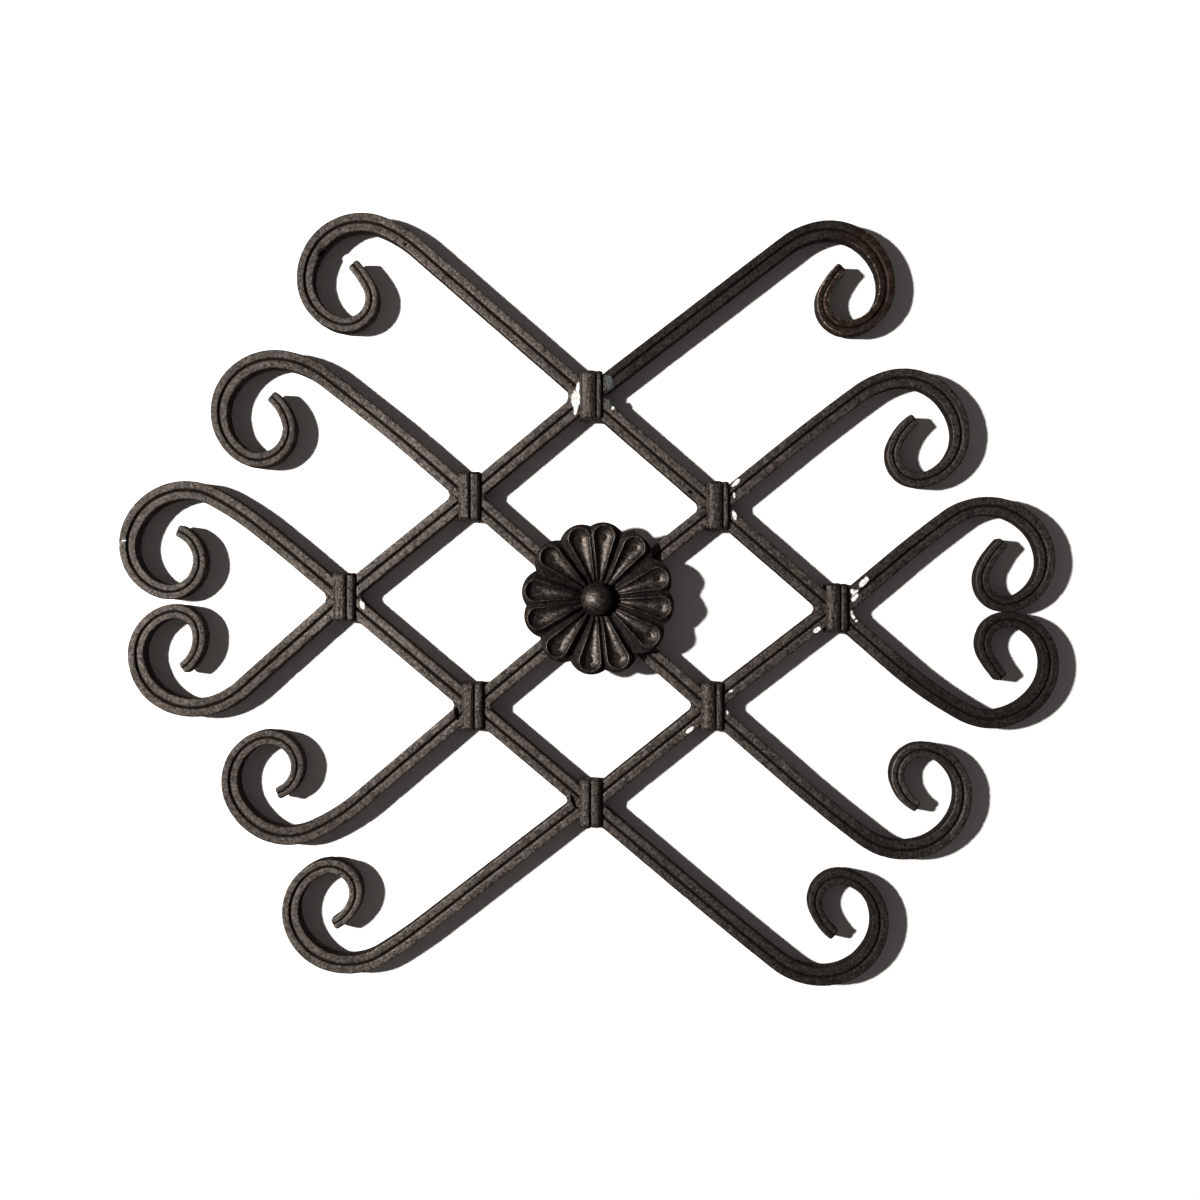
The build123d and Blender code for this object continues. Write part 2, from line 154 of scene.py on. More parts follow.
def ramp(nt, fac, low, high, to_low=0.0, to_high=1.0):
    n = nt.nodes.new("ShaderNodeMapRange")
    n.interpolation_type = "SMOOTHSTEP"
    link(nt, fac, n.inputs["Value"])
    n.inputs["From Min"].default_value = low
    n.inputs["From Max"].default_value = high
    n.inputs["To Min"].default_value = to_low
    n.inputs["To Max"].default_value = to_high
    return n.outputs["Result"]


def mix(nt, fac, a, b):
    n = nt.nodes.new("ShaderNodeMix")
    n.data_type = "RGBA"
    link(nt, fac, n.inputs[0])
    for i, v in ((6, a), (7, b)):
        if isinstance(v, tuple):
            n.inputs[i].default_value = (*v, 1.0)
        else:
            link(nt, v, n.inputs[i])
    return n.outputs[2]


def blend_value(nt, fac, a, b):
    """a where fac is 0, b where it is 1."""
    n = nt.nodes.new("ShaderNodeMix")
    n.data_type = "FLOAT"
    link(nt, fac, n.inputs[0])
    for i, v in ((2, a), (3, b)):
        if isinstance(v, (int, float)):
            n.inputs[i].default_value = v
        else:
            link(nt, v, n.inputs[i])
    return n.outputs[0]


def spots(nt, coord, places, wobble, ragged=0.5, edge=0.12):
    """Mask that is 1 inside each (px, py, half width, half height, turn) ellipse."""
    best = None
    for px, py, rx, ry, turn, *depth in places:
        x, y = place(px, py)
        m = nt.nodes.new("ShaderNodeMapping")
        m.vector_type = "TEXTURE"
        z = depth[0] if depth else FRONT
        m.inputs["Location"].default_value = (x * MM, y * MM, z * MM)
        m.inputs["Rotation"].default_value = (0, 0, math.radians(turn))
        m.inputs["Scale"].default_value = (rx * 0.64 * MM, ry * 0.64 * MM, 3.4 * MM)
        link(nt, coord, m.inputs["Vector"])
        n = nt.nodes.new("ShaderNodeVectorMath")
        n.operation = "LENGTH"
        link(nt, m.outputs["Vector"], n.inputs[0])
        best = n.outputs["Value"] if best is None else math_node(nt, "MINIMUM", best, n.outputs["Value"])
    shake = math_node(nt, "MULTIPLY", math_node(nt, "SUBTRACT", wobble, 0.5), ragged * 2)
    return ramp(nt, math_node(nt, "ADD", best, shake), 1.0 - edge, 1.0 + edge, 1.0, 0.0)


# Bare or white places on the front, in pixels of the photograph
WHITE = [
    (575.9, 399.5, 4.6, 8.6, 0), (577.6, 389, 1.9, 6.6, -8), (575.6, 409, 1.9, 6.0, -3), (613.4, 407.4, 1.3, 3.0, -35),
    (736.0, 482.8, 5.4, 1.9, 42), (734.2, 495.5, 1.1, 3.2, 0), (734.4, 514.2, 2.0, 5.6, 8),
    (855, 595.5, 3.0, 6.2, -25), (852.6, 591.5, 2.2, 2.6, 0), (864, 581.8, 6.4, 2.8, 48),
    (853, 614.5, 2.2, 4.4, 15), (856.4, 620.8, 1.3, 1.3, 0),
    (817, 630, 4.6, 2.3, 35), (362.2, 603, 2.4, 6.2, 8),
    (731, 691.3, 2.5, 0.9, 25), (727.6, 711, 1.0, 3.8, 0), (689.8, 730, 4.6, 1.9, 40),
    (365, 774.5, 0.9, 3.4, -35), (124.2, 540.6, 2.3, 0.6, 5),
]
BARE = [
    (609, 383, 4.2, 8.6, 10), (608, 405, 3.2, 6.6, 0), (740, 487, 3.4, 1.8, 40),
    (858, 599, 3.0, 4.6, -30), (855, 606, 2.4, 4.0, 0), (730, 686, 2.4, 4.4, -20),
    (484, 697, 2.2, 5.0, 0), (611, 795, 2.2, 5.0, 0),
]
# Dark pits in the paint; those at the collars' corners and gaps and in the nick at the top left scroll are painted
# shade
PITS_AND_GAP_SHADE = [
    (300, 257, 1.3, 1.5, 0), (405.5, 244, 1.6, 1.1, 0), (690, 492, 1.4, 1.4, 0),
    (596, 391, 0.8, 1.2, 0), (455, 470, 0.9, 1.1, 0), (612, 330, 0.8, 1.0, 0),
    (259, 352, 1.0, 1.0, 0), (905, 845, 1.0, 1.1, 0), (420, 700, 0.9, 0.9, 0),
    (573.4, 801.3, 1.8, 7.0, 19), (457.0, 713.5, 2.4, 6.5, 8), (322.5, 252, 1.9, 5.6, -45),
    (700.2, 682.2, 1.0, 1.5, 0), (822.3, 584.8, 1.2, 1.4, 0), (455, 504.5, 2.2, 1.2, 20),
]
RUST = [(872, 275, 38, 56, 0), (846, 300, 30, 34, 0), (838, 262, 12, 12, 0)]


def paint(name, grain=1.0, streak=0.0, chips=True, dark=1.0, rough=0.56):
    mat = bpy.data.materials.new(name)
    mat.use_nodes = True
    nt = mat.node_tree
    bsdf = nt.nodes["Principled BSDF"]
    coord = nt.nodes.new("ShaderNodeTexCoord").outputs["Object"]

    broad = noise_node(nt, coord, 38, 3, 0.5)
    mottle = noise_node(nt, coord, 210, 5, 0.6)
    sand = noise_node(nt, coord, 620, 3, 0.6)
    fine = noise_node(nt, coord, 1500, 2, 0.6)
    grit = math_node(nt, "ADD", math_node(nt, "MULTIPLY", sand, 0.65), math_node(nt, "MULTIPLY", fine, 0.35))

    # paint: almost black, warmer and paler where it is thin or dusty
    tone = math_node(nt, "ADD", math_node(nt, "MULTIPLY", broad, 0.35), math_node(nt, "MULTIPLY", mottle, 0.65))
    deep = tuple(v * dark for v in (0.056, 0.0475, 0.0425))
    pale = tuple(v * dark for v in (0.104, 0.0885, 0.0795))
    colour = mix(nt, ramp(nt, tone, 0.36, 0.66), deep, pale)
    colour = mix(nt, ramp(nt, grit, 0.51, 0.64, 0, 0.85), colour, tuple(v * dark for v in (0.185, 0.158, 0.142)))
    colour = mix(nt, ramp(nt, grit, 0.49, 0.39, 0, 0.85), colour, tuple(v * dark for v in (0.020, 0.0165, 0.015)))
    roughness = ramp(nt, mottle, 0.3, 0.7, rough - 0.06, rough + 0.09)

    # worn ridges and edges, and painted shade on side walls, in grooves, creases, nicks and valleys, from the
    # surface's own shape; also a darker coat by place
    attr = nt.nodes.new("ShaderNodeAttribute")
    attr.attribute_name = "wear_and_highlight"
    wear_and_highlight = attr.outputs["Fac"]
    # lighter where worn; on the collars' left edges this is a painted highlight
    rub = ramp(nt, math_node(nt, "ADD", wear_and_highlight, math_node(nt, "MULTIPLY", math_node(nt, "SUBTRACT", mottle, 0.5), 1.1)), 0.55, 1.0, 0, 0.55)
    colour = mix(nt, rub, colour, (0.165, 0.148, 0.135))
    attr2 = nt.nodes.new("ShaderNodeAttribute")
    attr2.attribute_name = "shade_and_dirt"
    shade_and_dirt = attr2.outputs["Fac"]
    # painted shade: darkens the colour nearly to black where this attribute is high, and also where the coat is darker
    colour = mix(nt, math_node(nt, "MULTIPLY", shade_and_dirt, 0.95), colour, (0.006, 0.0045, 0.004))
    roughness = blend_value(nt, shade_and_dirt, roughness, 0.85)

    height = math_node(nt, "ADD", math_node(nt, "MULTIPLY", grit, 1.0 * grain), math_node(nt, "MULTIPLY", mottle, 1.1))
    if streak:
        lines = noise_node(nt, coord, 420, 4, 0.6, stretch=(1.0, 0.13, 1.0))
        height = math_node(nt, "ADD", height, math_node(nt, "MULTIPLY", lines, streak))
        colour = mix(nt, ramp(nt, lines, 0.55, 0.72, 0, 0.5), colour, (0.11, 0.097, 0.087))
    metal = None
    if chips:
        wobble = noise_node(nt, coord, 520, 3, 0.6)
        rust = spots(nt, coord, RUST, mottle, 1.2, 0.3)
        scratch = noise_node(nt, coord, 330, 4, 0.7, distortion=1.5)
        rust_tone = mix(nt, ramp(nt, mottle, 0.4, 0.65), (0.018, 0.0105, 0.008), (0.050, 0.028, 0.021))
        colour = mix(nt, math_node(nt, "MULTIPLY", rust, 0.75), colour, rust_tone)
        edge_scratch = math_node(nt, "ADD", wear_and_highlight, math_node(nt, "MULTIPLY", math_node(nt, "SUBTRACT", scratch, 0.5), 2.2))
        bright = math_node(nt, "MULTIPLY", rust, ramp(nt, edge_scratch, 0.68, 0.84, 0, 0.8))
        colour = mix(nt, bright, colour, (0.30, 0.22, 0.18))
        roughness = blend_value(nt, rust, roughness, 0.56)
        bare = spots(nt, coord, BARE, wobble, 0.9, 0.1)
        bare = math_node(nt, "MULTIPLY", bare, ramp(nt, mottle, 0.40, 0.52))
        colour = mix(nt, bare, colour, (0.082, 0.087, 0.090))
        roughness = blend_value(nt, bare, roughness, 0.5)
        white = spots(nt, coord, WHITE, wobble, 0.45, 0.14)
        chalk = mix(nt, ramp(nt, grit, 0.36, 0.56), (0.40, 0.37, 0.35), (0.84, 0.83, 0.82))
        colour = mix(nt, white, colour, chalk)
        roughness = blend_value(nt, white, roughness, 0.6)
        # dark pits, and painted shade in gaps and corners beside the collars
        pits_and_gap_shade = spots(nt, coord, PITS_AND_GAP_SHADE, wobble, 0.3, 0.15)
        colour = mix(nt, pits_and_gap_shade, colour, (0.003, 0.002, 0.002))
        roughness = blend_value(nt, pits_and_gap_shade, roughness, 0.95)
        height = math_node(nt, "SUBTRACT", height, math_node(nt, "MULTIPLY", pits_and_gap_shade, 2.5))
        height = math_node(nt, "SUBTRACT", height, math_node(nt, "MULTIPLY", bare, 0.6))
        metal = math_node(nt, "SUBTRACT", 0.93, math_node(nt, "MULTIPLY", white, 0.93), clamp=True)
        metal = math_node(nt, "SUBTRACT", metal, math_node(nt, "MULTIPLY", rust, 0.12), clamp=True)

    bump = nt.nodes.new("ShaderNodeBump")
    bump.inputs["Strength"].default_value = 1.0
    bump.inputs["Distance"].default_value = 0.00034
    link(nt, height, bump.inputs["Height"])
    link(nt, colour, bsdf.inputs["Base Color"])
    link(nt, roughness, bsdf.inputs["Roughness"])
    link(nt, bump.outputs["Normal"], bsdf.inputs["Normal"])
    if metal is None:
        bsdf.inputs["Metallic"].default_value = 0.93
    else:
        link(nt, metal, bsdf.inputs["Metallic"])
    bsdf.inputs["Specular IOR Level"].default_value = 0.3
    bsdf.inputs["Specular Tint"].default_value = (0.28, 0.25, 0.23, 1)
    return mat


bar_paint = paint("bar_paint")
collar_paint = paint("collar_paint", grain=2.4, streak=1.2, chips=False, dark=0.62, rough=0.5)
rosette_paint = paint("rosette_paint", grain=1.2, chips=False, dark=0.76, rough=0.46)
weld_paint = paint("weld_paint", grain=1.6, chips=True, dark=0.95)


# --------------------------------------------------------------------- pieces
def piece(name, node, material, verts, faces, wear_and_highlight=None, shade_and_dirt=None):
    """A mesh in millimetres becomes the piece that stands for a node."""
    mesh = bpy.data.meshes.new(name)
    mesh.from_pydata((np.asarray(verts, float) * MM).tolist(), [], faces)
    mesh.validate()
    mesh.polygons.foreach_set("use_smooth", [True] * len(mesh.polygons))
    for key, values in (("wear_and_highlight", wear_and_highlight), ("shade_and_dirt", shade_and_dirt)):
        a = mesh.attributes.new(key, "FLOAT", "POINT")
        if values is not None and len(values) == len(mesh.vertices):
            a.data.foreach_set("value", np.asarray(values, np.float32))
    mesh.materials.append(material)
    mesh.update()
    obj = bpy.data.objects.new(name, mesh)
    bpy.context.scene.collection.objects.link(obj)
    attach(obj, "root")
    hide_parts(node)
    return obj


def tube_faces(rings, around, closed_start=True, closed_end=True):
    faces = []
    for i in range(rings - 1):
        a, b = i * around, (i + 1) * around
        for j in range(around):
            k = (j + 1) % around
            faces.append((a + j, a + k, b + k, b + j))
    if closed_start:
        faces.append(tuple(reversed(range(around))))
    if closed_end:
        last = (rings - 1) * around
        faces.append(tuple(last + j for j in range(around)))
    return faces


def rough_at(p, scale, seed=0.0):
    """Smooth noise from -1 to 1; scale is the size of its bumps in millimetres."""
    return noise.noise(Vector((p[0] / scale + seed, p[1] / scale - seed, p[2] / scale + 2 * seed)))


def half_section(a, b, c, g, d):
    """Right half of the bar's section, from the middle of its back to the groove's bottom,
    as (across, up, wear, darkening); the darkening is painted shade on the side walls, the rounded edges and the
    groove's bottom."""
    points = [(0, -b, 0, 0), (a * 0.5, -b, 0, 0), (a - c - 0.3, -b, 0, 0)]
    for t in (0, 45, 90):
        r = math.radians(t)
        points.append((a - c + c * math.sin(r), -b + c - c * math.cos(r), 0, 0))
    # the side walls are darkened: painted shade
    points += [(a, -2.6, 0, 0.68), (a, 0.4, 0, 0.75), (a, 3.0, 0, 0.75)]
    # the upper rounded edge is darker towards the wall: painted shade
    for t, wall_shade in ((0, 0.72), (25, 0.42), (50, 0.08), (70, 0), (90, 0)):
        r = math.radians(t)
        points.append((a - c + c * math.cos(r), b - c + c * math.sin(r), 0.25 if t in (25, 90) else 0.6, wall_shade))
    points.append((a - c - 0.35, b, 0.2, 0))
    points.append(((a - c + g) / 2, b + 0.0, 0, 0))
    points.append((g + 0.55, b, 0.1, 0))
    points.append((g + 0.16, b - 0.04, 0.45, 0))
    points.append((g - 0.14, b - 0.26, 0.0, 0.0))
    # the groove's bottom is darkened: painted shade
    points.append((g * 0.5, b - d * 0.62, 0, 0.75))
    points.append((0.0, b - d, 0, 1.0))
    return points


def ring_points(width, tip, seed, s):
    """Section at one place: tip is 0 on the straight bar and 1 at the scroll's end."""
    c = EDGE + 0.3 * tip
    width += 1.8 * tip
    g = 1.0 * (1 - 0.32 * tip)
    half = half_section(width / 2, BAR / 2, c, g, 1.55 * (1 - 0.45 * tip))
    right = half
    left = [(-u, z, w, m) for u, z, w, m in reversed(half[1:-1])]
    return right + left


def bend_samples(point, angle, bends):
    """Points along the bends: (x, y, direction, distance from the start)."""
    out = []
    run = 0.0
    for radius, turn in bends:
        side = 1 if turn > 0 else -1
        ca = math.radians(angle + 90 * side)
        cx, cy = point[0] + radius * math.cos(ca), point[1] + radius * math.sin(ca)
        length = radius * math.radians(abs(turn))
        n = max(1, round(length / STEP))
        for i in range(1, n + 1):
            q = math.radians(angle - 90 * side + turn * i / n)
            out.append((cx + radius * math.cos(q), cy + radius * math.sin(q), angle + turn * i / n, run + length * i / n))
        run += length
        point, angle = out[-1][:2], angle + turn
    return out, run


def straight_samples(start, angle, length):
    n = max(2, round(length / 2.0))
    c, s = math.cos(math.radians(angle)), math.sin(math.radians(angle))
    return [(start[0] + c * length * i / n, start[1] + s * length * i / n, angle) for i in range(n + 1)]


# Places where the coat is darker, partly darker paint and partly painted shade: pixels of the photograph, reach and
# amount
DIRT_AND_SHADE = [
    (985, 672, 100, 0.71), (850, 915, 110, 0.64), (195, 535, 100, 0.28),
    (210, 665, 80, 0.31), (300, 260, 90, 0.26), (255, 405, 90, 0.33),
    (290, 790, 80, 0.32), (950, 560, 110, 0.48), (900, 430, 100, 0.37), (290, 900, 80, 0.20),
    (690, 890, 75, 0.26),
]


def dirt_and_shade_at(x, y):
    amount = 0.0
    for px, py, reach, most in DIRT_AND_SHADE:
        cx, cy = place(px, py)
        f = max(0.0, min(1.0, 1.6 - math.hypot(x - cx, y - cy) / (reach * 0.64)))
        amount = max(amount, most * f * f * (3 - 2 * f))
    return amount


def bar_mesh(name, path, seed, nicks=(), coat_and_shade=0.0):
    """path: (x, y, direction, distance from the nearer tip or None)."""
    verts, wear_and_highlight, shade_and_dirt = [], [], []
    rings = []
    for x, y, a, left in path:
        width = BAR if left is None else min(BAR, TIP_WIDTH + (BAR - TIP_WIDTH) * left / TAPER)
        tip = 0.0 if left is None else max(0.0, 1 - left / 95.0)
        rings.append((x, y, a, width, tip, left, 1.0, 0.0))
    # a scroll's end is blunt and rounded over
    def cap(ring, direction):
        x, y, a, width, tip, left, _, _ = ring
        c, s = math.cos(math.radians(a)), math.sin(math.radians(a))
        out = []
        for push, size in ((0.0, 1.0), (0.8, 0.97), (1.4, 0.87), (1.8, 0.66), (1.95, 0.35)):
            out.append((x + direction * c * (push - 0.4), y + direction * s * (push - 0.4), a, width, tip, left, size, 0.0))
        return out
    if rings[0][5] is not None and rings[0][5] < 0.5:
        first = rings[0]
        while len(rings) > 1 and rings[0][5] is not None and rings[0][5] < 1.0:
            rings.pop(0)
        rings = list(reversed(cap(first, -1))) + rings
    if rings[-1][5] is not None and rings[-1][5] < 0.5:
        last = rings[-1]
        while len(rings) > 1 and rings[-1][5] is not None and rings[-1][5] < 1.0:
            rings.pop()
        rings = rings + cap(last, 1)
    around = None
    for i, (x, y, a, width, tip, left, size, _) in enumerate(rings):
        nx, ny = -math.sin(math.radians(a)), math.cos(math.radians(a))
        sway = 0.14 * rough_at((x, y, 0), 26, seed)  # the groove wanders a little
        # darker coat by place, partly darker paint and partly painted shade
        darker = max(coat_and_shade, dirt_and_shade_at(x, y))
        pts = ring_points(width, tip, seed, i)
        around = len(pts)
        for u, z, w, m in pts:
            if abs(u) < 2.4 and z > 3.5:
                u += sway
            u *= size
            z *= 1 - (1 - size) * 0.45
            p = (x - nx * u, y - ny * u, MID + z)
            # hammered and rolled: only ever inwards
            lumpy = 0.5 + 0.5 * rough_at(p, 9.0, seed + 3.1)
            small = 0.5 + 0.5 * rough_at(p, 2.6, seed + 7.7)
            amount = 0.13 * lumpy + 0.10 * small + 0.16 * tip * lumpy
            if abs(u) > width / 2 - 1.2:
                chew = rough_at(p, 3.4, seed + 12.3)
                amount += 0.22 * max(0.0, chew - 0.25) * 2
                u -= math.copysign(amount, u)
            if z > 4.5:
                z -= amount * 0.8
            if z < -4.5:
                z += amount * 0.5
            px, py, pz = x - nx * u, y - ny * u, MID + z
            for nx0, ny0, r, depth in nicks:
                d = math.hypot(px - nx0, py - ny0)
                if d < r and z > 1.5:
                    pz -= depth * (1 - (d / r) ** 2)
                    # deep nicks are darkened inside: painted shade
                    m = max(m, min(1.0, 2.2 * (1 - d / r)) if depth > 0.85 else 0.0)
            verts.append((px, py, pz))
            wear_and_highlight.append(min(1.0, w + 0.35 * tip))
            shade_and_dirt.append(max(m, darker))
    faces = tube_faces(len(rings), around)
    return verts, faces, wear_and_highlight, shade_and_dirt


def shifted(p):
    return (p[0] + SHIFT[0], p[1] + SHIFT[1])


def along(p, angle, distance):
    return (p[0] + distance * math.cos(math.radians(angle)), p[1] + distance * math.sin(math.radians(angle)))


def line_of(name):
    table = THROUGH if name in THROUGH else LINKS if name in LINKS else ARMS
    return shifted(table[name][0]), table[name][1]


def meet(a, b):
    (ax, ay), p = a
    (bx, by), q = b
    ca, sa = math.cos(math.radians(p)), math.sin(math.radians(p))
    cb, sb = math.cos(math.radians(q)), math.sin(math.radians(q))
    t = ((bx - ax) * sb - (by - ay) * cb) / (ca * sb - sa * cb)
    return (ax + t * ca, ay + t * sa)


NICKS = [
    (*place(322.5, 251.5), 3.0, 2.6), (*place(342.5, 234.6), 1.2, 0.8),
    (*place(300, 257), 1.1, 0.9), (*place(405.5, 244), 1.2, 0.9), (*place(690, 492), 1.2, 1.0),
    (*place(569, 432), 1.8, 0.5), (*place(866, 232), 1.8, 0.7), (*place(826, 300), 2.0, 0.7),
    (*place(436, 243), 1.4, 0.5), (*place(967, 420), 1.3, 0.5),
]

seed = 1.0
for name, (point, angle, back, on, bends_back, bends_on) in THROUGH.items():
    start = along(shifted(point), angle, -back)
    back_part, back_length = bend_samples(start, angle + 180, bends_back)
    on_part, on_length = bend_samples(along(start, angle, back + on), angle, bends_on)
    path = [(x, y, a + 180, back_length - s) for x, y, a, s in reversed(back_part)]
    path += [(x, y, a, None) for x, y, a in straight_samples(start, angle, back + on)]
    path += [(x, y, a, on_length - s) for x, y, a, s in on_part]
    v, f, w, g = bar_mesh(name, path, seed, NICKS)
    piece("visual_" + name, name, bar_paint, v, f, w, g)
    seed += 5.3

for name, (point, angle, run, bends, carrier) in ARMS.items():
    start = shifted(point)
    sideways = meet(line_of(carrier), (start, angle))
    begin = along(sideways, angle, 5.2)
    length = math.hypot(start[0] - sideways[0], start[1] - sideways[1])
    forward = (sideways[0] - start[0]) * math.cos(math.radians(angle)) + (sideways[1] - start[1]) * math.sin(math.radians(angle))
    straight = run - forward - 5.2
    part, total = bend_samples(along(start, angle, run), angle, bends)
    path = [(x, y, a, None) for x, y, a in straight_samples(begin, angle, straight)]
    path += [(x, y, a, total - s) for x, y, a, s in part]
    # the top right scroll gets a darker coat, partly darker paint and partly painted shade
    v, f, w, g = bar_mesh(name, path, seed, NICKS, 0.67 if name == "scroll_arm_top_right" else 0.0)
    piece("visual_" + name, name, bar_paint, v, f, w, g)
    seed += 5.3

for name, (point, angle, first, second) in LINKS.items():
    line = (shifted(point), angle)
    a, b = meet(line_of(first), line), meet(line_of(second), line)
    if (b[0] - a[0]) * math.cos(math.radians(angle)) + (b[1] - a[1]) * math.sin(math.radians(angle)) < 0:
        a, b = b, a
    length = math.hypot(b[0] - a[0], b[1] - a[1]) - 10.4
    path = [(x, y, q, None) for x, y, q in straight_samples(along(a, angle, 5.2), angle, length)]
    v, f, w, g = bar_mesh(name, path, seed, NICKS)
    piece("visual_" + name, name, bar_paint, v, f, w, g)
    seed += 5.3


# -------------------------------------------------------------------- collars
def loop(half_y, half_z, corner):
    """A rounded rectangle as (y, z, outward y, outward z), from its front right round."""
    points = []
    long_n, short_n, corner_n = 22, 8, 6
    iy, iz = half_y - corner, half_z - corner
    corners = [(iy, iz, 0), (-iy, iz, 90), (-iy, -iz, 180), (iy, -iz, 270)]
    for i, (cy, cz, t0) in enumerate(corners):
        for j in range(corner_n + 1):
            t = math.radians(t0 + 90 * j / corner_n)
            points.append((cy + corner * math.cos(t), cz + corner * math.sin(t), math.cos(t), math.sin(t)))
        ny, nz, _ = corners[(i + 1) % 4]
        n = long_n if i % 2 == 0 else short_n
        t = math.radians(t0 + 90)
        for j in range(1, n):
            f = j / n
            points.append((
                (cy + corner * math.cos(t)) * (1 - f) + (ny + corner * math.cos(t)) * f,
                (cz + corner * math.sin(t)) * (1 - f) + (nz + corner * math.sin(t)) * f,
                math.cos(t), math.sin(t)))
    return points


def collar_profile(x):
    """How thick the band is at x across it: its flanges, rolled edges and rib."""
    edge = 7.35 - abs(x)
    roll = 1.7 if x > 0 else 0.75
    flange = 1.0 if edge > roll else math.sqrt(max(0.0, 1 - (1 - edge / roll) ** 2)) * 0.6 + 0.4
    r = abs(x + 1.85) / 4.05
    rib = (1 - r ** 2.6) ** 0.62 if r < 1 else 0.0
    crease = (-0.36 if x > 0 else -0.12) * math.exp(-((abs(x + 1.85) - 4.5) / 0.42) ** 2)
    swell = 0.10 * math.exp(-((x - 4.4) / 0.8) ** 2)
    return flange, rib, crease + swell


columns = [-7.35, -7.25, -7.05, -6.8, -6.6, -6.35, -6.1, -5.9, -5.75, -5.55, -5.2, -4.7, -4.1, -3.5,
           -2.9, -2.2, -1.6, -1.0, -0.4, 0.2, 0.8, 1.3, 1.7, 2.0, 2.2, 2.4, 2.65, 2.9, 3.2, 3.6, 4.1, 4.6, 5.1,
           5.5, 5.9, 6.3, 6.65, 7.0, 7.25, 7.35]
# The crease at the rib's right side lies this much further left on some collars, in mm
CREASE = {
    "collar_left": 0.7, "collar_upper_left": 2.0, "collar_lower_left": 1.4, "collar_bottom": 2.7,
    "collar_top": -1.1, "collar_upper_right": -1.1,
}
for name, (cx, cy) in COLLARS.items():
    cx, cy = shifted((cx, cy))
    verts, wear_and_highlight, shade_and_dirt = [], [], []
    inner = loop(14.3, 5.95, 0.6)
    around = len(inner)
    # the band's inside is darkened: painted shade
    for y, z, oy, oz in inner:
        verts.append((cx - 7.1, cy + y, MID + z)); wear_and_highlight.append(0); shade_and_dirt.append(0.5)
    for x in columns:
        flange, rib, extra = collar_profile(x)
        for y, z, oy, oz in loop(16.0, 8.0, 2.6):
            side = abs(oy)
            thick = flange * (2.0 * (1 - side) + 1.7 * side) + rib * (1.3 * (1 - side) + 0.4 * side) + extra * (1 - 0.6 * side)
            full = 2.0 * (1 - side) + 1.7 * side
            out = thick - full
            p = (cx + x, cy + y, MID + z)
            stroke = rough_at((p[0] * 2.4, p[1] * 0.42, p[2]), 3.2, seed)
            lumps = rough_at(p, 6.5, seed + 4.4)
            crumb = rough_at(p, 1.6, seed + 9.4)
            dent = -0.20 * (0.5 + 0.5 * stroke) - 0.34 * (0.5 + 0.5 * lumps) - (0.12 + 0.40 * side) * (0.5 + 0.5 * crumb)
            lean = 0.32 * rough_at((p[0] * 0.1, p[1], p[2]), 8.0, seed + (2.2 if x < 0 else 5.5))
            px = p[0] + lean * (abs(x) / 7.35) ** 2 * (-1 if x > 0 else 1) - 0.12 * (1 if x > 0 else -1)
            px -= CREASE.get(name, 0.0) * max(0.0, 1 - abs(x - 2.65) / 4.6)
            verts.append((px, p[1] + oy * (out + dent), p[2] + oz * (out + dent)))
            # the left edge is made lighter: a painted highlight; the rib's crest is lighter from wear
            wear_and_highlight.append(0.55 if abs(abs(x) - 7.0) < 0.3 and x < 0 else 0.35 if abs(x + 1.3) < 0.8 else 0.0)
            # the rolled right edge, the crease at the rib's side (darker on the right) and its surrounds are darkened:
            # painted shade
            away = abs(abs(x + 1.85) - 4.5)
            edge_shade = max(0.0, min(1.0, (x - 5.2) / 0.8)) * 0.9
            shade_and_dirt.append(max(edge_shade, (1.0 if x > 0 else 0.45) if away < 0.1 else 0.4 if away < 0.3 and x > 0 else 0.0))
    for y, z, oy, oz in inner:
        verts.append((cx + 7.1, cy + y, MID + z)); wear_and_highlight.append(0); shade_and_dirt.append(0.5)
    rings = len(columns) + 2
    faces = []
    for i in range(rings):
        a, b = i * around, ((i + 1) % rings) * around
        for j in range(around):
            k = (j + 1) % around
            faces.append((a + j, b + j, b + k, a + k))
    piece("visual_" + name, name, collar_paint, verts, faces, wear_and_highlight, shade_and_dirt)
    seed += 5.3

# -------------------------------------------------------------------- rosette
LOBES = np.array([18.8, 54.8, 84.6, 107.3, 138.7, 172.9, 198.4, 229.7, 262.9, 288.7, 323.9, 352.2])


def dish(r):
    return 1.7 + 9.0 * (1 - np.exp(-(np.maximum(r, 10.0) - 10.0) / 7.2))


def outline_radius(theta):
    best = np.full(theta.shape, 33.0)
    for a in LOBES:
        f = np.radians(theta - a)
        inside = 14.6 ** 2 - (33.9 * np.sin(f)) ** 2
        r = np.where((inside > 0) & (np.cos(f) > 0), 33.9 * np.cos(f) + np.sqrt(np.maximum(inside, 0)), 0)
        best = np.maximum(best, r)
    best += 1.7 * np.exp(-((((theta - 62.4) + 180) % 360 - 180) / 2.0) ** 2)
    best -= 0.5 * np.exp(-((((theta - 52.5) + 180) % 360 - 180) / 6.0) ** 2)
    return best


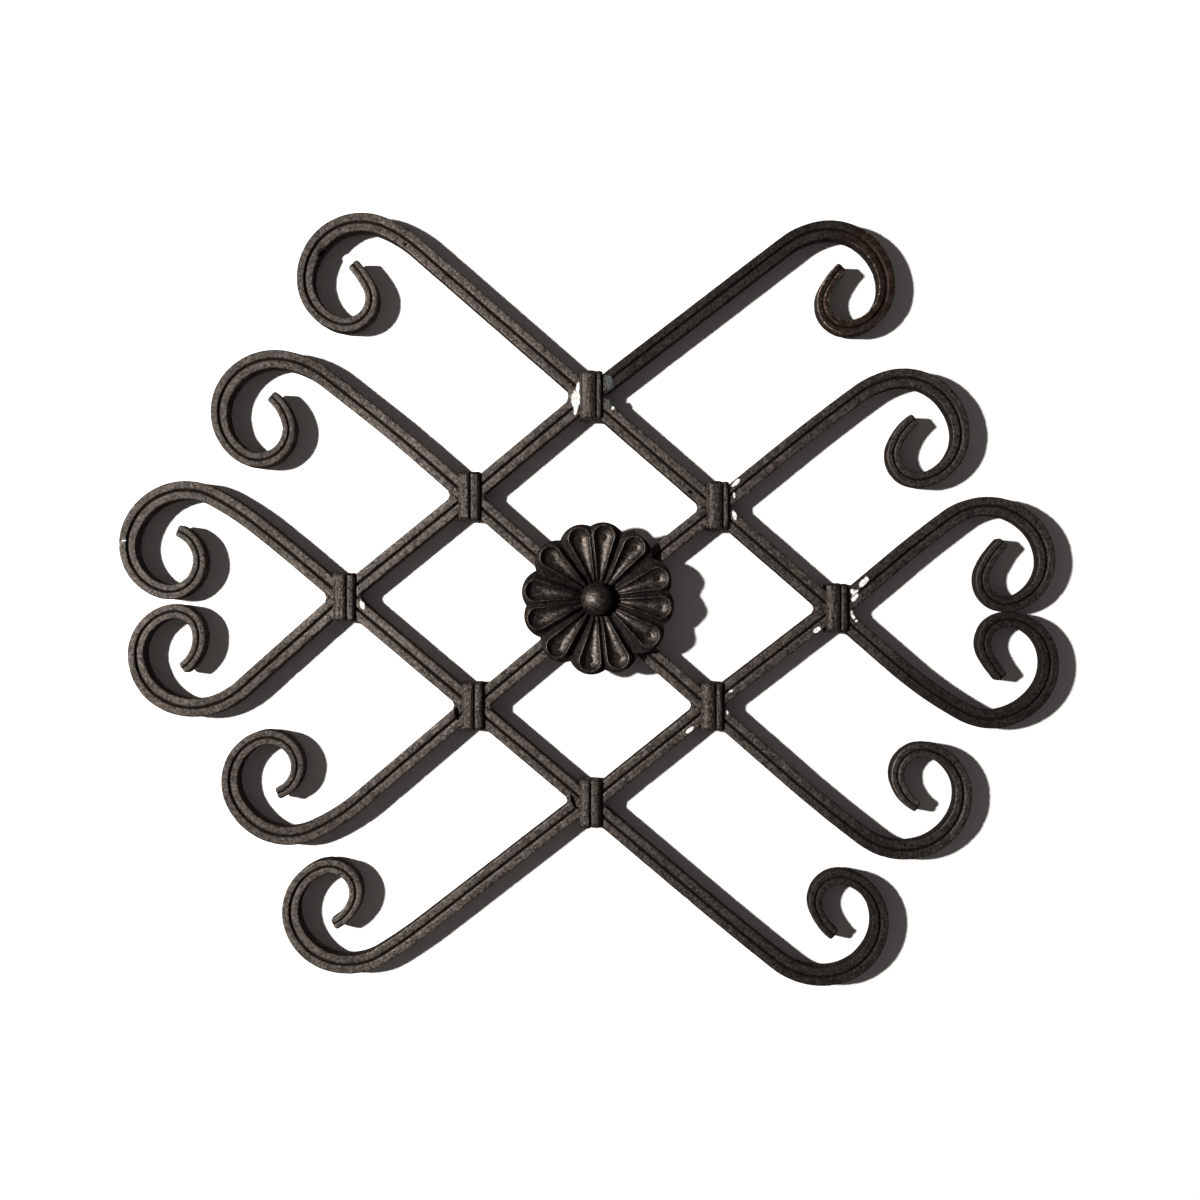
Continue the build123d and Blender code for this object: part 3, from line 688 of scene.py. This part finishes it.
def petal_height(x, y):
    """Top of the flower above the bars' front, how hard it is rubbed, and how much painted shade darkens the valleys
    between the petals.
    """
    r = np.hypot(x, y)
    theta = np.degrees(np.arctan2(y, x))
    base = dish(r)
    best = np.full(r.shape, -99.0)
    rubbed = np.zeros(r.shape)
    valley_shade = np.zeros(r.shape)
    for a in LOBES:
        c, s = math.cos(math.radians(a)), math.sin(math.radians(a))
        t, q = x * c + y * s, -x * s + y * c
        t0, t1, w0, w1 = 11.5, 39.6, 1.15, 6.7
        f = np.clip((t - t0) / (t1 - t0), 0, 1)
        width = w0 + (w1 - w0) * f ** 1.08
        length = np.where(t > t1, t - t1, np.where(t < t0, t0 - t, 0))
        dist = np.hypot(length, q)
        d = dist - width
        depth = 1.05 + 3.15 * f ** 0.8
        hollow = -depth * np.maximum(0, 1 - (dist / width) ** 2) ** 0.85
        ridge_w = 0.36 + 0.06 * f
        ridge = 0.30 * np.exp(-((d - 0.1) / ridge_w) ** 2)
        outer = np.maximum(d - 0.30, 0)
        drop = 0.85 * outer + 0.62 * outer ** 2
        drop = 3.9 * (1 - np.exp(-drop / 3.9))
        z = base + np.where(d < 0, hollow, 0) + ridge - drop
        z = np.where(np.abs(((theta - a) + 180) % 360 - 180) < 60, z, -99)
        better = z > best
        rubbed = np.where(better, np.exp(-((d - 0.1) / 0.4) ** 2), rubbed)
        valley_shade = np.where(better, np.clip((d - 0.6) / 1.8, 0, 1), valley_shade)
        best = np.maximum(best, z)
    # the flower's petals start outside the seat of the ball
    blend = np.clip((r - 10.6) / 2.4, 0, 1)
    return base * (1 - blend) + best * blend, rubbed * blend, valley_shade * blend


around = 640
theta = np.arange(around) * 360.0 / around
edge_r = outline_radius(theta)
steps = np.concatenate([np.linspace(0, 0.9, 62), np.linspace(0.9, 1.0, 12)[1:]])
verts, wear_and_highlight, shade_and_dirt = [], [], []
cosr, sinr = np.cos(np.radians(theta)), np.sin(np.radians(theta))


def add_ring(r, z, w=None, g=None, wobble=0.0):
    for j in range(around):
        p = (r[j] * cosr[j], r[j] * sinr[j], z[j])
        n1 = rough_at(p, 3.0, 41.0)
        n2 = rough_at(p, 1.1, 57.0)
        dz = -wobble * (0.16 * (0.5 + 0.5 * n1) + 0.08 * (0.5 + 0.5 * n2))
        verts.append((ROSETTE[0] + p[0], ROSETTE[1] + p[1], FRONT + p[2] + dz))
        wear_and_highlight.append(0.0 if w is None else float(w[j]))
        shade_and_dirt.append(0.0 if g is None else float(g[j]))


inner_r = 4.0
for s in steps:
    r = inner_r + (edge_r - inner_r) * s
    z, rub, low = petal_height(r * cosr, r * sinr)
    # the valleys between the petals and the well round the ball are darkened: painted shade
    add_ring(r, z, 0.8 * rub, np.clip(0.75 * low + 0.75 * np.clip((15.0 - r) / 4, 0, 1), 0, 1), 1.0)
top_edge = z
# the rim's edge and its underside are darkened: painted shade
add_ring(edge_r + 0.12, top_edge - 0.55, np.full(around, 0.3), np.full(around, 0.3))
add_ring(edge_r - 0.1, np.maximum(top_edge - 1.3, 6.3), None, np.full(around, 0.5))
for s in (0.97, 0.9, 0.8, 0.68, 0.55, 0.42):
    r = edge_r * s
    z = np.where(r > 28, 4.9 + (r - 28) / 21.5 * 1.1, 1.6 + (r - 13) / 15 * 3.3)
    add_ring(r, z, None, None, 0.5)
add_ring(np.full(around, 13.0), np.full(around, 1.6))
add_ring(np.full(around, 13.0), np.full(around, 0.02))
add_ring(np.full(around, 4.0), np.full(around, 0.02))
rings = len(verts) // around
faces = []
for i in range(rings):
    a, b = i * around, ((i + 1) % rings) * around
    for j in range(around):
        k = (j + 1) % around
        faces.append((a + j, b + j, b + k, a + k))
piece("visual_rosette", "rosette", rosette_paint, verts, faces, wear_and_highlight, shade_and_dirt)

# the ball: turned, then dulled by paint, so that it is never quite round
verts, wear_and_highlight = [], []
around_b, up = 96, 44
centre = (ROSETTE[0] - 0.2, ROSETTE[1] - 0.5, FRONT + 2.6 + 1.4)
for i in range(up):
    t = math.radians(-7.3 + 97.3 * i / up)
    for j in range(around_b):
        q = 2 * math.pi * j / around_b
        d = (math.cos(t) * math.cos(q), math.cos(t) * math.sin(q), math.sin(t))
        p = tuple(11 * v for v in d)
        r = 11 - 0.10 * (0.5 + 0.5 * rough_at(p, 5.0, 71)) - 0.07 * (0.5 + 0.5 * rough_at(p, 1.5, 83))
        verts.append(tuple(centre[k] + r * d[k] for k in range(3)))
        wear_and_highlight.append(0.15)
faces = []
for i in range(up - 1):
    for j in range(around_b):
        k = (j + 1) % around_b
        faces.append((i * around_b + j, i * around_b + k, (i + 1) * around_b + k, (i + 1) * around_b + j))
verts.append((centre[0], centre[1], centre[2] + 10.97)); wear_and_highlight.append(0.15)
last = (up - 1) * around_b
faces += [(last + j, last + (j + 1) % around_b, len(verts) - 1) for j in range(around_b)]
faces.append(tuple(reversed(range(around_b))))
piece("visual_rosette_ball", "rosette_ball", rosette_paint, verts, faces, wear_and_highlight)


# ---------------------------------------------------------------------- welds
def outward(name, side):
    angle = line_of(name)[1]
    if name in ARMS:
        return angle
    return angle if side > 0 else angle + 180


def offset_line(name, quadrant):
    point, angle = line_of(name)
    n = (-math.sin(math.radians(angle)), math.cos(math.radians(angle)))
    if n[0] * quadrant[0] + n[1] * quadrant[1] < 0:
        n = (-n[0], -n[1])
    return (point[0] + n[0] * BAR / 2, point[1] + n[1] * BAR / 2), angle


def bead(corner, d1, d2, leg, rough, seed, low, high, root=1.6, sink=0.30):
    """Lumpy weld metal in the corner between two bars, reaching root into the crossing."""
    verts, faces = [], []
    around, levels = 15, 15
    inx, iny = -(math.cos(math.radians(d1)) + math.cos(math.radians(d2))), -(math.sin(math.radians(d1)) + math.sin(math.radians(d2)))
    n = math.hypot(inx, iny)
    inx, iny = inx / n, iny / n
    for i in range(levels):
        f = i / (levels - 1)
        z = low + (high - low) * (0.5 - 0.5 * math.cos(math.pi * f))
        shrink = math.sqrt(max(0.0, 1 - (2 * f - 1) ** 8)) * 0.85 + 0.15
        for j in range(around):
            t = j / around
            if t < 0.62:  # the face that shows
                u = t / 0.62
                a, b = (1 - u), u
                sag = 1 - sink * math.sin(math.pi * u)
                x = corner[0] + leg * shrink * sag * (a * math.cos(math.radians(d1)) + b * math.cos(math.radians(d2)))
                y = corner[1] + leg * shrink * sag * (a * math.sin(math.radians(d1)) + b * math.sin(math.radians(d2)))
                p = (x, y, z)
                lump = rough * (0.7 * rough_at(p, 2.3, seed) + 0.4 * rough_at(p, 1.0, seed + 3))
                x -= inx * lump
                y -= iny * lump
                z2 = z + rough * 0.5 * rough_at(p, 1.8, seed + 6) * (1 if 0 < i < levels - 1 else 0.5)
            else:  # its root, inside the bars
                u = (t - 0.62) / 0.38
                a, b = u, 1 - u
                x = corner[0] + inx * root + (leg * 0.9) * (a * math.cos(math.radians(d1)) + b * math.cos(math.radians(d2))) * abs(2 * u - 1)
                y = corner[1] + iny * root + (leg * 0.9) * (a * math.sin(math.radians(d1)) + b * math.sin(math.radians(d2))) * abs(2 * u - 1)
                z2 = z
            verts.append((x, y, z2))
    faces = tube_faces(levels, around)
    return verts, faces


def joined(parts):
    verts, faces = [], []
    for v, f in parts:
        base = len(verts)
        verts += v
        faces += [tuple(base + k for k in face) for face in f]
    return verts, faces


parts = []
for crossing, (through, lower, upper) in CROSSINGS.items():
    corners = [((-1, 0), -1, lower, -1), ((1, 0), 1, upper, 1)]
    if crossing == "centre":
        corners += [((0, 1), -1, upper, 1), ((0, -1), 1, lower, -1)]
    for quadrant, through_side, bar, bar_side in corners:
        corner = meet(offset_line(through, quadrant), offset_line(bar, quadrant))
        right = quadrant[0] > 0
        # the top collar's left corner is filled level with the bars' fronts
        full = crossing == "top" and not right
        parts.append(bead(
            corner, outward(through, through_side), outward(bar, bar_side),
            3.1 if right else 5.4 if full else 3.9, 0.55 if right else 0.22, seed, BACK + 0.6,
            FRONT - 0.5 if right else FRONT - 0.02, 1.6, 0.16 if full else 0.30))
        seed += 3.7


def pad(outline, rise, seed):
    """Weld metal spread thinly over the bars' fronts, its outline in pixels of the photograph."""
    corners = [place(*p) for p in outline]
    cx, cy = sum(p[0] for p in corners) / len(corners), sum(p[1] for p in corners) / len(corners)
    rim = []
    for (ax, ay), (bx, by) in zip(corners, corners[1:] + corners[:1]):
        rim += [(ax + (bx - ax) * i / 4, ay + (by - ay) * i / 4) for i in range(4)]
    verts = [(cx, cy, FRONT - 0.9)]
    levels = ((0.9, -0.9), (1.0, -0.2), (0.96, 0.55 * rise), (0.86, rise), (0.66, rise), (0.44, rise), (0.2, rise))
    for size, up in levels:
        for x, y in rim:
            p = (cx + (x - cx) * size, cy + (y - cy) * size, FRONT + up)
            lump = 0.05 * rough_at(p, 1.5, seed) if up > 0 else 0.0
            verts.append((p[0], p[1], p[2] + lump))
    verts.append((cx, cy, FRONT + rise))
    n, faces = len(rim), []
    for i in range(len(levels) - 1):
        a, b = 1 + i * n, 1 + (i + 1) * n
        faces += [(a + j, a + (j + 1) % n, b + (j + 1) % n, b + j) for j in range(n)]
    last = 1 + (len(levels) - 1) * n
    faces += [(0, 1 + (j + 1) % n, 1 + j) for j in range(n)]
    faces += [(last + j, last + (j + 1) % n, len(verts) - 1) for j in range(n)]
    return verts, faces


parts.append(pad([(570.6, 401), (571.2, 395), (573.2, 389.5), (576.5, 386), (580.2, 384.6), (580.6, 400),
                  (580.2, 415.4), (576.5, 413), (573, 408.5)][::-1], 0.12, 11.0))
parts.append(pad([(602.8, 375), (608, 373.4), (612.6, 376.8), (613, 386), (609.6, 391), (602.8, 391)][::-1], 0.14, 17.0))
parts.append(pad([(602.8, 398.2), (608, 397.8), (610.8, 402), (609.8, 408.6), (606, 411), (602.8, 409)][::-1], 0.14, 23.0))
verts, faces = joined(parts)
piece("visual_crossing_welds","crossing_welds", weld_paint, verts, faces, [0.1] * len(verts), [0.15] * len(verts))

# beads round the pad behind the flower
parts = []
for name, side in (("through_bar_middle", 1), ("through_bar_middle", -1), ("link_upper_right_to_centre", 1), ("link_centre_to_lower_left", -1)):
    (px, py), angle = line_of(name)
    c, s = math.cos(math.radians(angle)), math.sin(math.radians(angle))
    t = (ROSETTE[0] - px) * c + (ROSETTE[1] - py) * s
    fx, fy = px + t * c - ROSETTE[0], py + t * s - ROSETTE[1]
    reach = math.sqrt(14.0 ** 2 - fx ** 2 - fy ** 2)
    at = math.degrees(math.atan2(fy + side * s * reach, fx + side * c * reach))
    verts = []
    count, section_n = 15, 8
    for i in range(count):
        q = math.radians(at - 12 + 24 * i / (count - 1))
        fat = 0.35 + 0.65 * math.sin(math.pi * i / (count - 1)) ** 0.5
        for j in range(section_n):
            w = 2 * math.pi * j / section_n
            r = 13.6 + 1.5 * fat * math.cos(w)
            z = 0.45 + 0.95 * fat * math.sin(w)
            p = (r * math.cos(q), r * math.sin(q), z)
            r += 0.3 * rough_at(p, 1.6, seed)
            verts.append((ROSETTE[0] + r * math.cos(q), ROSETTE[1] + r * math.sin(q), FRONT + max(-0.3, z + 0.2 * rough_at(p, 1.2, seed + 2))))
    parts.append((verts, tube_faces(count, section_n)))
    seed += 3.7
verts, faces = joined(parts)
piece("visual_rosette_welds", "rosette_welds", weld_paint, verts, faces, [0.1] * len(verts), [0.2] * len(verts))

# -------------------------------------------------------- floor, light, camera
floor_mesh = bpy.data.meshes.new("floor")
floor_mesh.from_pydata([(-4, -4, 0), (4, -4, 0), (4, 4, 0), (-4, 4, 0)], [], [(0, 1, 2, 3)])
floor = bpy.data.objects.new("floor", floor_mesh)
bpy.context.scene.collection.objects.link(floor)
floor_mat = bpy.data.materials.new("floor")
floor_mat.use_nodes = True
floor_mat.node_tree.nodes["Principled BSDF"].inputs["Base Color"].default_value = (0.93, 0.925, 0.92, 1)
floor_mat.node_tree.nodes["Principled BSDF"].inputs["Roughness"].default_value = 0.95
floor_mat.node_tree.nodes["Principled BSDF"].inputs["Specular IOR Level"].default_value = 0.1
floor_mesh.materials.append(floor_mat)
floor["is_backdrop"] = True

world = bpy.data.worlds.new("studio")
world.use_nodes = True
world.node_tree.nodes["Background"].inputs["Color"].default_value = (1.0, 0.93, 0.88, 1)
world.node_tree.nodes["Background"].inputs["Strength"].default_value = 0.075
bpy.context.scene.world = world

target = Vector((0.0, 0.0, 0.012))
direction = Vector((-0.685, 0.085, 0.72)).normalized()
lamp = bpy.data.lights.new("key", "AREA")
lamp.shape = "DISK"
lamp.size = 0.17
lamp.energy = 152
lamp.color = (1.0, 0.975, 0.945)
key = bpy.data.objects.new("key", lamp)
key.location = target + direction * 2.7
key.rotation_mode = "QUATERNION"
key.rotation_quaternion = direction.to_track_quat("Z", "Y")
bpy.context.scene.collection.objects.link(key)

camera_data = bpy.data.cameras.new("camera")
camera_data.sensor_width = 36.0
camera_data.sensor_fit = "HORIZONTAL"
camera_data.lens = 42.0
camera_data.clip_start, camera_data.clip_end = 0.05, 20
camera = bpy.data.objects.new("camera", camera_data)
camera.location = (0.00712, -0.00045, 0.9113)
camera.rotation_euler = (0, 0, 0)
bpy.context.scene.collection.objects.link(camera)
bpy.context.scene.camera = camera

bpy.context.scene.view_settings.view_transform = "Standard"
bpy.context.scene.view_settings.look = "None"
bpy.context.scene.view_settings.exposure = 0.0
bpy.context.scene.view_settings.gamma = 1.0

low, high = (list(v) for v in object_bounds())
